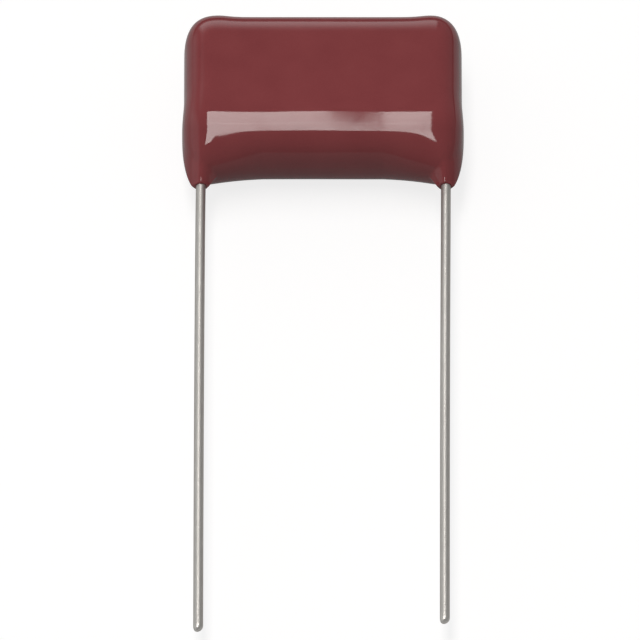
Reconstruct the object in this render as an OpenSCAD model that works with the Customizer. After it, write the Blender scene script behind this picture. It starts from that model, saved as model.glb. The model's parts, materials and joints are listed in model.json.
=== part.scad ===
// Dipped film capacitor with two radial wire leads, lying on one of its flat sides.
// X runs along the body from wire to wire, +Y points away from the free wires and +Z goes up
// through the body's thickness. The origin is the centre of the flat underside. Millimetres.

/* [Leads] */
// Distance between the centres of the two wires
lead_pitch = 15; // [12.5:0.5:20]
// Diameter of the round wire
lead_d = 0.6; // [0.5:0.05:0.8]
// Free length of the left wire, from the coating to its tip
left_free_l = 34.6; // [10:0.1:45]
// Free length of the right wire, from the coating to its tip
right_free_l = 34; // [10:0.1:45]
// Length of the rounded tip that the shears leave
tip_l = 0.45; // [0.35:0.05:0.8]
// Slant of the sheared face, from square across the wire
tip_slant = 38; // [20:1:50]
// Thickness of the wire where the weld has pressed it flat
weld_flat_t = 0.45; // [0.36:0.01:0.5]
// Length of the flattened stretch, up from the winding's lower edge
weld_l = 7; // [4:0.5:8.5]
// Depth that the flattened wire is pressed into the sprayed metal
weld_sink = 0.1; // [0.05:0.01:0.2]
// Length of round wire that reaches up into the end of the coating
grip_l = 0.05; // [0.04:0.01:0.1]

/* [Winding] */
// Height of the pressed roll of film
winding_h = 9.9; // [9:0.1:14]
// Thickness of the pressed roll of film
winding_t = 4.1; // [3:0.1:6]
// Diameter of the mandrel that the roll was wound on
mandrel_d = 3.2; // [2:0.1:3.4]
// Slit that is left where the mandrel was drawn out
slit_t = 0.1; // [0.06:0.01:0.3]
// Thickness of the metal sprayed on each end of the roll
spray_t = 0.45; // [0.3:0.05:0.8]

/* [Coating] */
// Coating over the flat sides and long edges of the roll
coat_t = 0.6; // [0.4:0.05:1]
// Coating outside the wires at the two ends
coat_end = 0.7; // [0.5:0.05:1]
// Length over which each end rounds off
end_round = 1.7; // [1.3:0.05:1.9]
// Growth of each end towards the wires' side
end_flare = 0.11; // [0:0.01:0.2]
// Build-up of coating on the two upper corners
ear_h = 0.15; // [0:0.01:0.2]
// Length of the straight lower edge between the wires
straight_l = 7.2; // [5:0.1:8]
// Drop of the shallow arch from that edge to the wires
arch_drop = 0.9; // [0.5:0.05:1.1]
// Length of coating on each wire below the body's lower edge
rundown_l = 1.45; // [1.3:0.05:1.8]
// Width of the fillet between the arch and each wire
rundown_w = 0.9; // [0.7:0.05:1.2]
// Wall of the coating where it ends on the wire
rim_wall = 0.1; // [0.08:0.01:0.2]

/* [Fits] */
// Clearance around each piece that the coating or the spray encloses
fit_gap = 0.02; // [0.01:0.005:0.04]

/* [Hidden] */

LEFT = -1;
RIGHT = 1;
$fn = 64;
wire_fn = 32;    // sides of the flattened stretch of wire
arc_steps = 20;  // facets over each half-round long edge of the coating
arch_steps = 9;  // rings between the straight lower edge and the shoulder
end_steps = 16;  // rings over each rounded end

// The body's half sizes follow from what the coating covers.
lead_x = lead_pitch / 2;
half_t = winding_t / 2 + coat_t;
round_y = (winding_h - winding_t) / 2;
body_x = lead_x + lead_d / 2 + coat_end;
body_low = round_y + half_t;

// The roll is as long as the welds leave between the two sprayed ends.
spray_x = lead_x - weld_flat_t / 2 + weld_sink;
winding_l = 2 * (spray_x - spray_t);

// Distances down the wire, from the body's centre towards the tips.
rim_s = body_low + rundown_l;
weld_low_s = winding_h / 2;
weld_top_s = weld_low_s - weld_l;

// How square the rounded long edges are, the power of sine and cosine that draws them, and the
// power that gives their tangents.
edge_power = 2.2;
edge_curve = 2 / edge_power;
tangent_power = edge_power / (edge_power - 1);

// The outline rounds off from the shoulder outwards and the flat faces from a little before it,
// up to the last ring's angle.
shoulder_x = body_x - end_round;
end_power = 2.44;
corner_power = 2.43;
face_from = shoulder_x - 0.2 * end_round;
face_power = 2.73;
last_ring = 86;

// The flare starts a little below the middle, and the build-up sits just inside the shoulder.
flare_from = -0.2 * round_y;
ear_x = shoulder_x - 0.12 * end_round;
ear_w = 0.5 * end_round;

// The lower edge: how the arch and the fillets run, and the angle below which the arch acts.
arch_from = straight_l / 2;
arch_power = 1.15;
arch_angle = 25;
fillet_power = 1.55;

cut = 10;      // how far cutting shapes reach past the part
slice = 0.01;  // thickness of the slices that hulls are drawn between

// ---- Coating ----

function clamp01(s) = max(0, min(1, s));
function ease(s) = let (c = clamp01(s)) c * c * (3 - 2 * c);
function round_off(s, power) = pow(1 - pow(clamp01(s), power), 1 / power);

function lift(c, power) = sign(c) * pow(abs(c), power);

// What is left of the radii and of the thickness at distance a from the middle.
function outline_at(a, power) = round_off((a - shoulder_x) / end_round, power);
function face_at(a) = half_t * round_off((a - face_from) / (body_x - face_from), face_power);

// 1 from the wire outwards, and falling to 0 over the fillet's width inwards.
function near_lead(a) = exp(-pow(max(0, lead_ring - a) / rundown_w, fillet_power));
function arch(a) = arch_drop * pow(clamp01((a - arch_from) / (lead_ring - arch_from)), arch_power);
function ear(a) = ear_h * exp(-pow((a - ear_x) / ear_w, 2));
function flare(y) = 1 + end_flare / body_x * ease((flare_from - y) / (flare_from + round_y));

// How far out, in radii, the tangents of the lower edge meet when they are share thick at u.
function slack(far) = pow(1 - pow(far, -tangent_power), 1 / tangent_power);
function meeting(u, share, guess = 2, turns = 9) =
    turns == 0 ? guess : meeting(u, share, u / (1 - share * slack(guess)), turns - 1);

// The tongue would come to a point there, and is as thick as the rim where it is cut off.
lead_ring = lead_x / (1 + end_flare / body_x);
tip_far = meeting((half_t + rundown_l) / (half_t * outline_at(lead_ring, corner_power)),
                  (lead_d / 2 + rim_wall) / face_at(lead_ring));

// The lower edge in polar form, in radii: t goes from 0 on the flat face to 90 at the edge.
function edge_r(t) = pow(pow(sin(t), edge_power) + pow(cos(t), edge_power), -1 / edge_power);
function arched_r(t, a) = edge_r(t) + arch(a) / half_t * ease((t - arch_angle) / (90 - arch_angle));
function low_r(t, a) = let (
    far = 1 + (tip_far - 1) * near_lead(a),
    touch = atan(pow(1 / (far * slack(far)), tangent_power - 1)),
    plain = arched_r(t, a)
) t <= touch ? plain : max(plain, 1 / (sin(t) / far + cos(t) * slack(far)));

// One closed section of the coating at distance x from the middle: a rounded upper edge, and
// a lower edge that goes from rounded to a pointed tongue at the wires.
function ring(x) = let (
    a = abs(x),
    half_z = face_at(a),
    upper_r = (half_t + ear(a)) * outline_at(a, end_power),
    lower_r = half_t * outline_at(a, corner_power)
) concat(
    [for (i = [0 : arc_steps]) let (t = 180 * i / arc_steps)
        [round_y + upper_r * pow(sin(t), edge_curve), half_z * lift(cos(t), edge_curve)]],
    [for (i = [0 : arc_steps]) let (t = 180 * i / arc_steps, r = low_r(min(t, 180 - t), a))
        [-round_y - lower_r * r * sin(t), -half_z * r * cos(t)]]
);

half_rings = concat(
    [for (i = [0 : arch_steps - 1]) arch_from + (shoulder_x - arch_from) * i / arch_steps],
    [for (i = [0 : end_steps]) shoulder_x + end_round * sin(last_ring * i / end_steps)]
);
ring_count = 2 * len(half_rings);
ring_x = [for (i = [0 : ring_count - 1])
    i < len(half_rings) ? -half_rings[len(half_rings) - 1 - i] : half_rings[i - len(half_rings)]];
ring_points = 2 * (arc_steps + 1);

module coating_form() {
    points = [for (x = ring_x) for (p = ring(x)) [x * flare(p[0]), p[0], half_t + p[1]]];
    skin = [for (i = [0 : ring_count - 2]) for (j = [0 : ring_points - 1])
        let (
            k = (j + 1) % ring_points,
            a = i * ring_points + j,
            b = i * ring_points + k,
            c = b + ring_points,
            d = a + ring_points
        )
        each [[a, b, c], [a, c, d]]];
    first_cap = [for (j = [0 : ring_points - 1]) ring_points - 1 - j];
    last_cap = [for (j = [0 : ring_points - 1]) (ring_count - 1) * ring_points + j];
    polyhedron(points = points, faces = concat(skin, [first_cap, last_cap]));
}

module epoxy_coating() {
    color([0.53, 0.25, 0.26])
    difference() {
        coating_form();
        translate([-body_x - cut, -rim_s - cut, -cut])
            cube([2 * (body_x + cut), cut, half_t * 2 + 2 * cut]);
        pressed_roll(winding_l + 2 * (spray_t + fit_gap), fit_gap);
        wire(LEFT, left_free_l, fit_gap);
        wire(RIGHT, right_free_l, fit_gap);
    }
}

// ---- Winding and sprayed ends ----

// The outline of something round that was pressed flat.
module flattened(h, t) {
    square([h - t, t], center = true);
    for (side = [LEFT, RIGHT])
        translate([side * (h - t) / 2, 0])
            circle(d = t);
}

// A length of the pressed roll's outline, grown all round, centred on the body.
module pressed_roll(length, grow) {
    translate([-length / 2, 0, half_t])
        rotate([90, 0, 90])
            linear_extrude(height = length)
                flattened(winding_h + 2 * grow, winding_t + 2 * grow);
}

module film_winding() {
    slit_h = PI * mandrel_d / 2;
    color([0.72, 0.74, 0.76])
    difference() {
        pressed_roll(winding_l, 0);
        translate([-winding_l / 2 - cut, 0, half_t])
            rotate([90, 0, 90])
                linear_extrude(height = winding_l + 2 * cut)
                    flattened(slit_h, slit_t);
    }
}

module end_spray(side) {
    color([0.6, 0.6, 0.58])
    difference() {
        translate([side * (spray_x - spray_t / 2), 0, 0])
            pressed_roll(spray_t, 0);
        wire(side, tip_l, fit_gap);
    }
}

// ---- Wires ----

// One wire, grown all round: flat along its weld, then round from just inside the coating.
module wire(side, free_l, grow) {
    flat_w = (PI * pow(lead_d, 2) / 4 - PI * pow(weld_flat_t, 2) / 4) / weld_flat_t + weld_flat_t;
    translate([side * lead_x, 0, half_t])
        rotate([90, 0, 0]) {
            hull() {
                flat_slice(weld_top_s - grow, flat_w, grow);
                flat_slice(weld_low_s, flat_w, grow);
            }
            hull() {
                flat_slice(weld_low_s, flat_w, grow);
                translate([0, 0, rim_s - grip_l])
                    cylinder(h = slice, d = lead_d + 2 * grow, $fn = wire_fn);
            }
            translate([0, 0, rim_s - grip_l])
                cylinder(h = grip_l + free_l - tip_l, d = lead_d + 2 * grow);
            translate([0, 0, rim_s + free_l - tip_l])
                sheared_tip(grow);
        }
}

// A thin slice of the flattened wire at distance s down it.
module flat_slice(s, w, grow) {
    for (z = [-1, 1])
        translate([0, z * (w - weld_flat_t) / 2, s])
            cylinder(h = slice, d = weld_flat_t + 2 * grow, $fn = wire_fn);
}

// The tip that shears leave: drawn to a blunt bullet, with one slanted face.
module sheared_tip(grow) {
    r = lead_d / 2 + grow;
    bullet_r = (pow(r, 2) + pow(tip_l, 2)) / (2 * r);
    difference() {
        rotate_extrude()
            intersection() {
                translate([r - bullet_r, 0])
                    circle(r = bullet_r);
                square([r, tip_l]);
            }
        translate([0, 0, tip_l - r / 3])
            rotate([0, tip_slant, 0])
                translate([-cut / 2, -cut / 2, 0])
                    cube(cut);
    }
}

module lead(side, free_l) {
    color([0.83, 0.83, 0.8])
    wire(side, free_l, 0);
}

epoxy_coating();
film_winding();
end_spray(LEFT);  // end_spray_left
end_spray(RIGHT);  // end_spray_right
lead(LEFT, left_free_l);  // lead_left
lead(RIGHT, right_free_l);  // lead_right
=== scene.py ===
"""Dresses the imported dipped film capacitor: coating, wires, inner pieces, light and camera."""

import json
import math

import bmesh
import bpy
import numpy as np
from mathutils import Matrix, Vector


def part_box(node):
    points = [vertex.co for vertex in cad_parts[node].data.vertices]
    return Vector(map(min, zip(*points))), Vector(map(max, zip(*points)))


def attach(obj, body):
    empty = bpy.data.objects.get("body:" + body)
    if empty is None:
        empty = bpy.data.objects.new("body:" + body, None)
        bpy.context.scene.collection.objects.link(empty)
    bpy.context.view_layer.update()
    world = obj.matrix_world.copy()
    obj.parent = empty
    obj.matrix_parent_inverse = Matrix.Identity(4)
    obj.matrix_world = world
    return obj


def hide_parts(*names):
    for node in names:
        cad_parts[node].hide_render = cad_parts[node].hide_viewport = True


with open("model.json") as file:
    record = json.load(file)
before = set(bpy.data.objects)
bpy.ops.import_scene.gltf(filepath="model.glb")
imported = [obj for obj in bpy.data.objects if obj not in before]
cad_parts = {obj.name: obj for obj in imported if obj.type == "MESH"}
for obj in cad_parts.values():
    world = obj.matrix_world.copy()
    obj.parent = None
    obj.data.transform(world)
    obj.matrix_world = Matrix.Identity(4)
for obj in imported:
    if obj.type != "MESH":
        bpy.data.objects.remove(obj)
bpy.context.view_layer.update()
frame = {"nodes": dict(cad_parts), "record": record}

MM = 0.001  # shapes are worked out in millimetres, and objects are in metres
LEFT, RIGHT = -1, 1

# ---- Sizes that the frame gives, in millimetres ----

mounts = {m["name"]: m for m in frame["record"]["mounts"]}
coat_low, coat_high = (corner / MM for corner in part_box("epoxy_coating"))
roll_low, roll_high = (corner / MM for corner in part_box("film_winding"))
spray_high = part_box("end_spray_right")[1] / MM

LEAD_X = mounts["lead_pair"]["dims"]["spacing_x_mm"] / 2
WIRE_R = mounts["lead_pair"]["dims"]["stud_r_mm"]
HALF_T = coat_high.z / 2
RIM_S = -coat_low.y
ROLL_T = roll_high.z - roll_low.z
ROLL_H = roll_high.y - roll_low.y
ROUND_Y = (ROLL_H - ROLL_T) / 2

# ---- The coating's form: the solid's formulas, with the arch starting a little further round ----

EDGE_POWER = 2.2
EDGE_CURVE = 2 / EDGE_POWER
TANGENT_POWER = EDGE_POWER / (EDGE_POWER - 1)
END_ROUND = 1.7
END_POWER = 2.44
CORNER_POWER = 2.43
FACE_POWER = 2.73
END_FLARE = 0.11
FLARE_FROM = -0.2 * ROUND_Y
ARCH_FROM = 3.6
ARCH_DROP = 0.9
ARCH_POWER = 1.15
ARCH_ANGLE = math.radians(32)
FILLET_W = 0.9
FILLET_POWER = 1.55
RIM_WALL = 0.1
COAT_END = 0.7
FIT = 0.02

BODY_X = LEAD_X + WIRE_R + COAT_END
SHOULDER_X = BODY_X - END_ROUND
FACE_FROM = SHOULDER_X - 0.2 * END_ROUND
LEAD_RING = LEAD_X / (1 + END_FLARE / BODY_X)

# How finely the coating is drawn: rings in each half over the straight edge, the arch and the
# rounded end, and points round the upper edge, round the lower edge and across each flat face.
STRAIGHT_RINGS = 10
ARCH_RINGS = 60
END_RINGS = 44
LAST_RING = 89.5
UPPER_POINTS = 49
LOWER_POINTS = 57
ACROSS_POINTS = 24

# Dipped epoxy isn't quite flat: half the mean depth of its shallow dips.
DIP = 0.006

# How the tongue's cut end is rounded off: its length, and how far in it runs under the wire.
LIP_L = 0.1
LIP_IN = 0.9

# The build-up on the two upper corners: place and height, left and right.
EAR_W = 0.85
EARS = {LEFT: (6.4, 0.16), RIGHT: (6.6, 0.15)}

# ---- The wires ----

WELD_HALF_X = 0.225
WELD_OFFSET = 0.1375
WELD_TOP_S = -2.05
WELD_LOW_S = 4.95
ROUND_S = RIM_S - 0.05
TIP_L = 0.41
TIP_SHIFT = -0.08
# How each wire leans off its straight line: at the coating, just below it (over the length
# KICK_L), over its whole length, and mid-way.
LEAN = {LEFT: (0.05, -0.02, -0.05, -0.02), RIGHT: (0.0, 0.0, -0.16, -0.02)}
KICK_L = 2.5
WIRE_POINTS = 48
WIRE_STEP = 0.35
RIM_TO_TIP = {
    LEFT: -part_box("lead_left")[0].y / MM - RIM_S,
    RIGHT: -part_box("lead_right")[0].y / MM - RIM_S,
}


def clamp01(s):
    return np.clip(s, 0.0, 1.0)


def ease(s):
    c = clamp01(s)
    return c * c * (3 - 2 * c)


def round_off(s, power):
    return (1 - clamp01(s) ** power) ** (1 / power)


def lift(c, power):
    return np.sign(c) * np.abs(c) ** power


def near_lead(a):
    """1 from the wire outwards, and falling to 0 over the fillet's width inwards."""
    return np.exp(-((np.maximum(0, LEAD_RING - a) / FILLET_W) ** FILLET_POWER))


def outline_at(a, power):
    """The share of the long edges' radii that is left at distance a from the middle."""
    return round_off((a - SHOULDER_X) / END_ROUND, power)


def face_at(a):
    """Half the body's thickness at distance a from the middle."""
    return HALF_T * round_off((a - FACE_FROM) / (BODY_X - FACE_FROM), FACE_POWER)


def slack(far):
    return (1 - far**-TANGENT_POWER) ** (1 / TANGENT_POWER)


def tip_reach():
    """How far out, in radii, the tongue on a wire would come to a point."""
    u = (RIM_S - ROUND_Y) / (HALF_T * outline_at(LEAD_RING, CORNER_POWER))
    share = (WIRE_R + RIM_WALL) / face_at(LEAD_RING)
    far = 2.0
    for _ in range(9):
        far = u / (1 - share * slack(far))
    return far


TIP_FAR = tip_reach()


def soft_max(a, b, blend=0.02):
    """The larger of the two, with the change-over rounded."""
    near = np.maximum(blend - np.abs(a - b), 0) / blend
    return np.maximum(a, b) + near * near * blend / 4


def low_radius(t, a):
    """The lower edge in polar form, in radii, for angles t from the flat face, at distance a."""
    t = np.minimum(t, math.pi - t)
    arch = ARCH_DROP * clamp01((a - ARCH_FROM) / (LEAD_RING - ARCH_FROM)) ** ARCH_POWER
    bulge = arch / HALF_T * ease((t - ARCH_ANGLE) / (math.pi / 2 - ARCH_ANGLE))
    plain = (np.sin(t) ** EDGE_POWER + np.cos(t) ** EDGE_POWER) ** (-1 / EDGE_POWER) + bulge
    far = 1.0001 + (TIP_FAR - 1) * near_lead(a)
    touch = math.atan((1 / (far * slack(far))) ** (TANGENT_POWER - 1))
    line = 1 / (np.sin(t) / far + np.cos(t) * slack(far))
    return np.where(t <= touch, plain, soft_max(plain, line))


def flare(y):
    return 1 + END_FLARE / BODY_X * ease((FLARE_FROM - y) / (FLARE_FROM + ROUND_Y))


def new_object(name, bm):
    mesh = bpy.data.meshes.new(name)
    bmesh.ops.recalc_face_normals(bm, faces=bm.faces)
    bm.to_mesh(mesh)
    bm.free()
    obj = bpy.data.objects.new(name, mesh)
    bpy.context.scene.collection.objects.link(obj)
    return obj


def loft(bm, rings):
    """Skins a list of rings of points, each a closed loop, and caps both ends."""
    loops = [[bm.verts.new(p) for p in ring] for ring in rings]
    count = len(loops[0])
    for a, b in zip(loops, loops[1:]):
        for i in range(count):
            k = (i + 1) % count
            bm.faces.new((a[i], a[k], b[k], b[i]))
    caps = [bm.faces.new(loops[0][::-1]), bm.faces.new(loops[-1])]
    bmesh.ops.triangulate(bm, faces=caps)


# ---- Coating ----


def coating_rings():
    """Sections of the dipped body from its left end to its right end, as (x, y, z) arrays."""
    half = np.concatenate(
        [
            np.linspace(0, ARCH_FROM, STRAIGHT_RINGS)[:-1],
            np.linspace(ARCH_FROM, SHOULDER_X, ARCH_RINGS)[:-1],
            SHOULDER_X + END_ROUND * np.sin(np.radians(np.linspace(0, LAST_RING, END_RINGS))),
        ]
    )
    places = np.concatenate([-half[:0:-1], half])
    up = np.radians(np.linspace(0, 180, UPPER_POINTS))
    down = np.radians(np.linspace(0, 180, LOWER_POINTS))
    across = np.linspace(1, -1, ACROSS_POINTS + 2)[1:-1] * ROUND_Y
    fit = coat_high.x / (BODY_X * flare(-RIM_S))
    rings = []
    for x in places:
        a = abs(x)
        half_z = face_at(a)
        ear_x, ear_h = EARS[LEFT if x < 0 else RIGHT]
        ear = ear_h * math.exp(-(((a - ear_x) / EAR_W) ** 2))
        upper_r = (HALF_T + ear) * outline_at(a, END_POWER)
        lower_r = HALF_T * outline_at(a, CORNER_POWER)
        low = low_radius(down, a)
        y = np.concatenate(
            [
                ROUND_Y + upper_r * np.sin(up).clip(0) ** EDGE_CURVE,
                across,
                -ROUND_Y - lower_r * low * np.sin(down),
                -across,
            ]
        )
        z = np.concatenate(
            [
                half_z * lift(np.cos(up), EDGE_CURVE),
                np.full(len(across), -half_z),
                -half_z * low * np.cos(down),
                np.full(len(across), half_z),
            ]
        )
        dip = DIP * (2 + np.sin(0.9 * x + 0.8 * y + 0.6) + np.sin(1.3 * y - 0.7 * x + 1.9))
        z = z * (1 - dip / HALF_T)
        rings.append(np.column_stack([x * flare(y) * fit, y, HALF_T + z]))
    return rings


def add_lip(bm, side):
    """Closes the cut tongue with a small rounded lip that runs in under the wire's surface."""
    cut_y = -RIM_S + LIP_L
    loop_edges = [
        e for e in bm.edges
        if e.is_boundary and e.verts[0].co.x * side > 0
    ]
    start = loop_edges[0].verts[0]
    loop, edge = [start], loop_edges[0]
    while True:
        nxt = edge.other_vert(loop[-1])
        if nxt is start:
            break
        loop.append(nxt)
        edge = next(e for e in nxt.link_edges if e.is_boundary and e is not edge)
    centre = Vector((side * LEAD_X + wire_lean(side, 0), cut_y, HALF_T))
    last = loop
    for angle in np.radians(np.linspace(0, 90, 7))[1:]:
        ring = []
        for v in loop:
            out = v.co - centre
            r = out.length
            inner = WIRE_R * LIP_IN
            new = out * ((inner + (r - inner) * (0.25 + 0.75 * math.cos(angle))) / r)
            ring.append(
                bm.verts.new((centre.x + new.x, cut_y - LIP_L * math.sin(angle), centre.z + new.z))
            )
        for i in range(len(loop)):
            k = (i + 1) % len(loop)
            bm.faces.new((last[i], last[k], ring[k], ring[i]))
        last = ring
    cap = bm.faces.new(last)
    bmesh.ops.triangulate(bm, faces=[cap])


def wire_lean(side, d):
    """How far the wire is off its straight line at distance d below the coating's rim."""
    start, kick, drift, sway = LEAN[side]
    free_l = RIM_TO_TIP[side]
    if d < 0:
        return start * clamp01(1 + d / (RIM_S - WELD_LOW_S))
    return (
        start
        + kick * (1 - math.exp(-d / KICK_L))
        + drift * d / free_l
        + sway * math.sin(math.pi * d / free_l)
    )


def wire_rings(side, grow=0.0, end_s=None):
    """Rings down one wire, from the top of its weld to its tip or to end_s."""
    tip_s = RIM_S + RIM_TO_TIP[side]
    straight_end = end_s if end_s is not None else tip_s - TIP_L
    stops = np.concatenate(
        [
            [WELD_TOP_S - grow],
            np.linspace(WELD_LOW_S, ROUND_S, 9),
            np.arange(ROUND_S + WIRE_STEP, straight_end, WIRE_STEP),
            [straight_end],
        ]
    )
    around = np.radians((np.arange(WIRE_POINTS) + 0.5) * 360 / WIRE_POINTS)
    rings = []

    def ring(s, r_x, offset, r_scale=1.0, shift=0.0):
        cx = side * LEAD_X + wire_lean(side, s - RIM_S) + shift
        x = cx + r_scale * r_x * np.cos(around)
        z = HALF_T + r_scale * (r_x * np.sin(around) + offset * np.sign(np.sin(around)))
        rings.append(np.column_stack([x, np.full(WIRE_POINTS, -s), z]))

    for s in stops:
        flat = 1 - clamp01((s - WELD_LOW_S) / (ROUND_S - WELD_LOW_S))
        ring(s, WIRE_R + (WELD_HALF_X - WIRE_R) * flat + grow, WELD_OFFSET * flat)
    if end_s is None:
        for t in np.sin(np.radians(np.linspace(0, 86, 16)))[1:]:
            ring(
                straight_end + TIP_L * t,
                WIRE_R,
                0.0,
                r_scale=(1 - t**2.1) ** 0.5,
                shift=TIP_SHIFT * t**2,
            )
    return rings


def make_wire(side, name, node):
    bm = bmesh.new()
    loft(bm, wire_rings(side))
    obj = new_object(name, bm)
    finish_piece(obj, node)
    return obj


def finish_piece(obj, node):
    """Takes a piece from millimetres to metres, shades it smooth and ties it to the frame."""
    obj.data.transform(((MM, 0, 0, 0), (0, MM, 0, 0), (0, 0, MM, 0), (0, 0, 0, 1)))
    obj.data.shade_smooth()
    obj.data.set_sharp_from_angle(angle=math.radians(40))
    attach(obj, "root")
    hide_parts(node)


def roll_cutter():
    """The roll with its sprayed ends, grown by the clearance."""
    r = ROLL_T / 2 + FIT
    turn = np.radians(np.linspace(0, 180, 33))
    y = np.concatenate([ROUND_Y + r * np.sin(turn), -ROUND_Y - r * np.sin(turn)])
    z = np.concatenate([r * np.cos(turn), -r * np.cos(turn)])
    end_x = spray_high.x + FIT
    bm = bmesh.new()
    loft(
        bm,
        [np.column_stack([np.full(len(y), x), y, HALF_T + z]) for x in (-end_x, end_x)],
    )
    return new_object("roll_cutter", bm)


def wire_cutter(side):
    bm = bmesh.new()
    loft(bm, wire_rings(side, grow=FIT, end_s=RIM_S + 1))
    return new_object("wire_cutter", bm)


def make_coating():
    bm = bmesh.new()
    loft(bm, coating_rings())
    bmesh.ops.bisect_plane(
        bm,
        geom=bm.verts[:] + bm.edges[:] + bm.faces[:],
        dist=1e-5,
        plane_co=(0, -RIM_S + LIP_L, 0),
        plane_no=(0, -1, 0),
        clear_outer=True,
    )
    for side in (LEFT, RIGHT):
        add_lip(bm, side)
    obj = new_object("dipped_coating", bm)
    cutters = [roll_cutter(), wire_cutter(LEFT), wire_cutter(RIGHT)]
    for cutter in cutters:
        cut = obj.modifiers.new(cutter.name, "BOOLEAN")
        cut.operation = "DIFFERENCE"
        cut.solver = "EXACT"
        cut.object = cutter
    made = bpy.data.meshes.new_from_object(
        obj.evaluated_get(bpy.context.evaluated_depsgraph_get())
    )
    obj.modifiers.clear()
    obj.data = made
    for cutter in cutters:
        bpy.data.objects.remove(cutter)
    finish_piece(obj, "epoxy_coating")
    return obj


# ---- Materials ----


class Nodes:
    """Short calls that build a node tree."""

    def __init__(self, tree):
        self.tree = tree
        tree.nodes.clear()

    def add(self, kind, **settings):
        node = self.tree.nodes.new(kind)
        for key, value in settings.items():
            setattr(node, key, value)
        return node

    def put(self, node, **values):
        """Sets or links a node's inputs, given by name with _ for a space."""
        for key, value in values.items():
            name = key.replace("_", " ")
            socket = node.inputs[int(key[2:])] if key.startswith("i_") else node.inputs[name]
            if isinstance(value, bpy.types.NodeSocket):
                self.tree.links.new(value, socket)
            else:
                socket.default_value = value
        return node

    def object_mm(self, stretch=(1, 1, 1)):
        """Object coordinates in millimetres, divided by stretch along each axis."""
        coords = self.add("ShaderNodeTexCoord")
        mapping = self.add("ShaderNodeMapping")
        scale = tuple(1 / (MM * s) for s in stretch)
        self.put(mapping, Vector=coords.outputs["Object"], Scale=scale)
        return mapping.outputs["Vector"]

    def noise(self, size, detail=2.0, stretch=(1, 1, 1), rough=0.5):
        """Noise with lumps of about size millimetres, from 0 to 1."""
        tex = self.add("ShaderNodeTexNoise")
        self.put(
            tex, Vector=self.object_mm(stretch), Scale=1 / size, Detail=detail, Roughness=rough
        )
        return tex.outputs["Fac"]

    def ranged(self, value, low, high, to_low, to_high, smooth=False):
        node = self.add("ShaderNodeMapRange")
        if smooth:
            node.interpolation_type = "SMOOTHSTEP"
        self.put(node, Value=value)
        node.inputs["From Min"].default_value = low
        node.inputs["From Max"].default_value = high
        node.inputs["To Min"].default_value = to_low
        node.inputs["To Max"].default_value = to_high
        return node.outputs["Result"]

    def math(self, operation, a, b=0.0):
        node = self.add("ShaderNodeMath", operation=operation)
        self.put(node, i_0=a, i_1=b)
        return node.outputs["Value"]

    def ramp(self, value, *stops):
        node = self.add("ShaderNodeValToRGB")
        elements = node.color_ramp.elements
        for i, (place, colour) in enumerate(stops):
            e = elements[i] if i < 2 else elements.new(place)
            e.position = place
            e.color = (*colour, 1)
        self.put(node, Fac=value)
        return node.outputs["Color"]

    def bump(self, height, depth, normal=None):
        """A bump of depth millimetres."""
        node = self.add("ShaderNodeBump")
        self.put(node, Height=height, Strength=1.0, Distance=depth * MM)
        if normal is not None:
            self.put(node, Normal=normal)
        return node.outputs["Normal"]

    def surface(self, shader):
        out = self.add("ShaderNodeOutputMaterial")
        self.put(out, Surface=shader)


def new_material(name):
    material = bpy.data.materials.new(name)
    material.use_nodes = True
    return material, Nodes(material.node_tree)


def epoxy_material():
    material, n = new_material("dipped_epoxy")
    cloud = n.noise(2.6, detail=3)
    fleck = n.noise(0.09, detail=1)
    tone = n.math("ADD", n.math("MULTIPLY", cloud, 0.7), n.math("MULTIPLY", fleck, 0.3))
    colour = n.ramp(
        tone,
        (0.3, (0.255, 0.043, 0.048)),
        (0.7, (0.29, 0.054, 0.059)),
    )
    rough = n.ranged(n.noise(1.4, detail=2), 0.3, 0.7, 0.05, 0.085)
    waves = n.bump(n.noise(3.2, detail=1), 0.004)
    peel = n.bump(n.noise(0.45, detail=1), 0.0004, waves)
    shader = n.add("ShaderNodeBsdfPrincipled")
    n.put(shader, Base_Color=colour, Roughness=rough, Normal=peel, IOR=1.55)
    n.surface(shader.outputs["BSDF"])
    return material


def wire_material():
    material, n = new_material("tinned_wire")
    streak = n.noise(0.07, detail=2, stretch=(1, 14, 1))
    grain = n.noise(0.05, detail=2)
    patch = n.noise(1.1, detail=3, stretch=(1, 3, 1))
    tone = n.math(
        "ADD",
        n.math("MULTIPLY", streak, 0.4),
        n.math("ADD", n.math("MULTIPLY", grain, 0.35), n.math("MULTIPLY", patch, 0.25)),
    )
    colour = n.ramp(tone, (0.32, (0.74, 0.72, 0.68)), (0.66, (0.95, 0.94, 0.9)))
    rough = n.ranged(tone, 0.3, 0.7, 0.5, 0.38)
    drawn = n.bump(streak, 0.003)
    skin = n.bump(grain, 0.0025, drawn)
    shader = n.add("ShaderNodeBsdfPrincipled")
    n.put(
        shader,
        Base_Color=colour,
        Roughness=rough,
        Normal=skin,
        Metallic=1.0,
        Specular_Tint=(0.5, 0.47, 0.43, 1),
    )
    n.surface(shader.outputs["BSDF"])
    return material


def film_material():
    """The wound film: thin metallised turns, seen as fine lines around the roll."""
    material, n = new_material("metallised_film")
    turns = n.noise(0.06, detail=2, stretch=(40, 1, 1))
    colour = n.ramp(turns, (0.35, (0.42, 0.44, 0.48)), (0.65, (0.62, 0.64, 0.67)))
    rough = n.ranged(n.noise(0.8), 0.3, 0.7, 0.3, 0.45)
    shader = n.add("ShaderNodeBsdfPrincipled")
    n.put(
        shader, Base_Color=colour, Roughness=rough, Normal=n.bump(turns, 0.004), Metallic=0.6
    )
    n.surface(shader.outputs["BSDF"])
    return material


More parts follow.
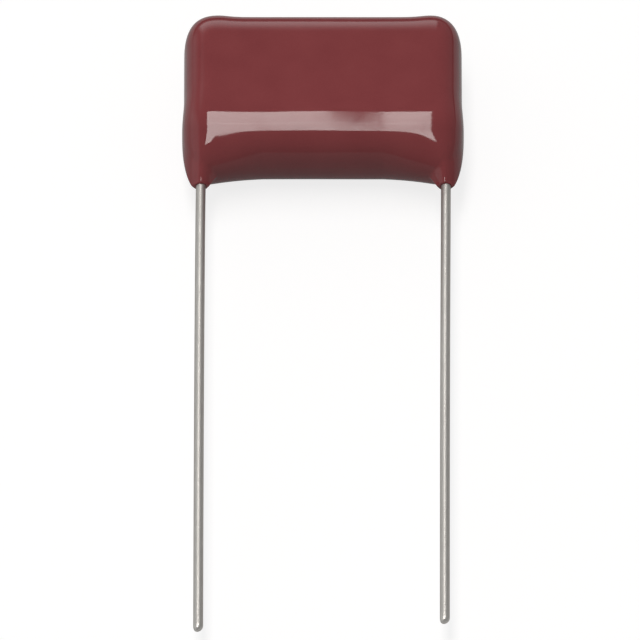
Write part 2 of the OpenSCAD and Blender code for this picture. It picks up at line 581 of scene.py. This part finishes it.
def spray_material():
    """Sprayed zinc: a matte crust of small splashes."""
    material, n = new_material("sprayed_zinc")
    splash = n.noise(0.16, detail=3, rough=0.65)
    colour = n.ramp(splash, (0.35, (0.33, 0.33, 0.32)), (0.68, (0.56, 0.56, 0.55)))
    rough = n.ranged(splash, 0.3, 0.7, 0.85, 0.6)
    shader = n.add("ShaderNodeBsdfPrincipled")
    n.put(
        shader, Base_Color=colour, Roughness=rough, Normal=n.bump(splash, 0.03), Metallic=0.85
    )
    n.surface(shader.outputs["BSDF"])
    return material


def dress(obj, material):
    obj.data.materials.clear()
    obj.data.materials.append(material)


# ---- Stage, light and camera ----


def panel(name, x, y, z):
    """A flat rectangle in metres, spanning x and y at height z."""
    bm = bmesh.new()
    corners = [(x[0], y[0], z), (x[1], y[0], z), (x[1], y[1], z), (x[0], y[1], z)]
    bm.faces.new([bm.verts.new(c) for c in corners])
    obj = new_object(name, bm)
    return obj


def seen_directly(n, glossy_share=1.0):
    """1 for camera and transmission rays, and glossy_share for glossy rays."""
    path = n.add("ShaderNodeLightPath")
    direct = n.math("MAXIMUM", path.outputs["Is Camera Ray"], path.outputs["Is Transmission Ray"])
    glossy = n.math("MULTIPLY", path.outputs["Is Glossy Ray"], glossy_share)
    return n.math("MAXIMUM", direct, glossy)


def make_floor():
    floor = panel("floor", (-0.15, 0.15), (-0.2, 0.03), -0.00002)
    material, n = new_material("pale_floor")
    diffuse = n.add("ShaderNodeBsdfDiffuse")
    n.put(diffuse, Color=(0.3, 0.3, 0.3, 1))
    glow = n.add("ShaderNodeEmission")
    n.put(glow, Color=(1, 1, 1, 1), Strength=n.math("MULTIPLY", seen_directly(n, 0.22), 0.8))
    both = n.add("ShaderNodeAddShader")
    n.put(both, i_0=diffuse.outputs["BSDF"], i_1=glow.outputs["Emission"])
    n.surface(both.outputs["Shader"])
    dress(floor, material)


def make_softbox():
    """One long soft light overhead, with a slightly brighter line across it."""
    width = (-0.24, 0.01)
    warm_white = (1.0, 0.955, 0.93, 1)
    for name, y, z, strength in (
        ("softbox", (-0.445, 0.575), 1.0, 6.4),
        ("softbox_line", (-0.06, -0.03), 0.99, 7.9),
    ):
        light = panel(name, width, y, z)
        light.visible_camera = False
        material, n = new_material(name)
        glow = n.add("ShaderNodeEmission")
        n.put(glow, Color=warm_white, Strength=strength)
        n.surface(glow.outputs["Emission"])
        dress(light, material)


def make_world():
    """A dim room: paler on the left, with a glow low down behind, and white where it is seen."""
    world = bpy.data.worlds.new("room")
    world.use_nodes = True
    bpy.context.scene.world = world
    n = Nodes(world.node_tree)
    coords = n.add("ShaderNodeTexCoord")
    axes = n.add("ShaderNodeSeparateXYZ")
    n.put(axes, Vector=coords.outputs["Generated"])
    x, y, z = (axes.outputs[k] for k in "XYZ")
    base = n.ranged(z, -0.02, 0.02, 0.05, 0.22)
    left = n.ranged(x, -0.62, -0.85, 0.0, 0.35, smooth=True)
    low = n.math(
        "MULTIPLY",
        n.ranged(z, 0.08, 0.14, 0.0, 1.0, smooth=True),
        n.ranged(z, 0.3, 0.72, 1.0, 0.0, smooth=True),
    )
    span = n.math(
        "MULTIPLY",
        n.ranged(x, -0.6, -0.4, 0.0, 1.0, smooth=True),
        n.ranged(x, 0.1, 0.2, 1.0, 0.0, smooth=True),
    )
    behind = n.ranged(y, 0.0, 0.3, 0.0, 1.0, smooth=True)
    glow = n.math("MULTIPLY", n.math("MULTIPLY", low, span), n.math("MULTIPLY", behind, 1.05))
    room = n.math("ADD", base, n.math("ADD", left, glow))
    path = n.add("ShaderNodeLightPath")
    strength = n.add("ShaderNodeMix", data_type="FLOAT")
    n.put(strength, i_0=path.outputs["Is Camera Ray"], i_2=room, i_3=1.0)
    background = n.add("ShaderNodeBackground")
    n.put(background, Color=(1, 1, 1, 1), Strength=strength.outputs["Result"])
    out = n.add("ShaderNodeOutputWorld")
    n.put(out, Surface=background.outputs["Background"])


def make_camera():
    """A long lens at 51 degrees above the floor, in front of the wires."""
    elevation = math.radians(51)
    half_field = math.radians(0.65)
    frame_w = 38.89 * MM
    aim = Vector((-0.18, -17.46, HALF_T)) * MM
    back = Vector((0, -math.cos(elevation), math.sin(elevation)))
    data = bpy.data.cameras.new("camera")
    data.sensor_width = 36
    data.lens = data.sensor_width / 2 / math.tan(half_field)
    data.clip_start = 0.1
    data.clip_end = 4
    camera = bpy.data.objects.new("camera", data)
    camera.location = aim + back * (frame_w / 2 / math.tan(half_field))
    camera.rotation_euler = (-back).to_track_quat("-Z", "Y").to_euler()
    bpy.context.scene.collection.objects.link(camera)
    bpy.context.scene.camera = camera


dress(make_coating(), epoxy_material())
tinned = wire_material()
dress(make_wire(LEFT, "wire_left", "lead_left"), tinned)
dress(make_wire(RIGHT, "wire_right", "lead_right"), tinned)
dress(frame["nodes"]["film_winding"], film_material())
zinc = spray_material()
for node in ("end_spray_left", "end_spray_right"):
    dress(frame["nodes"][node], zinc)

make_floor()
make_softbox()
make_world()
make_camera()
bpy.context.scene.view_settings.view_transform = "Standard"
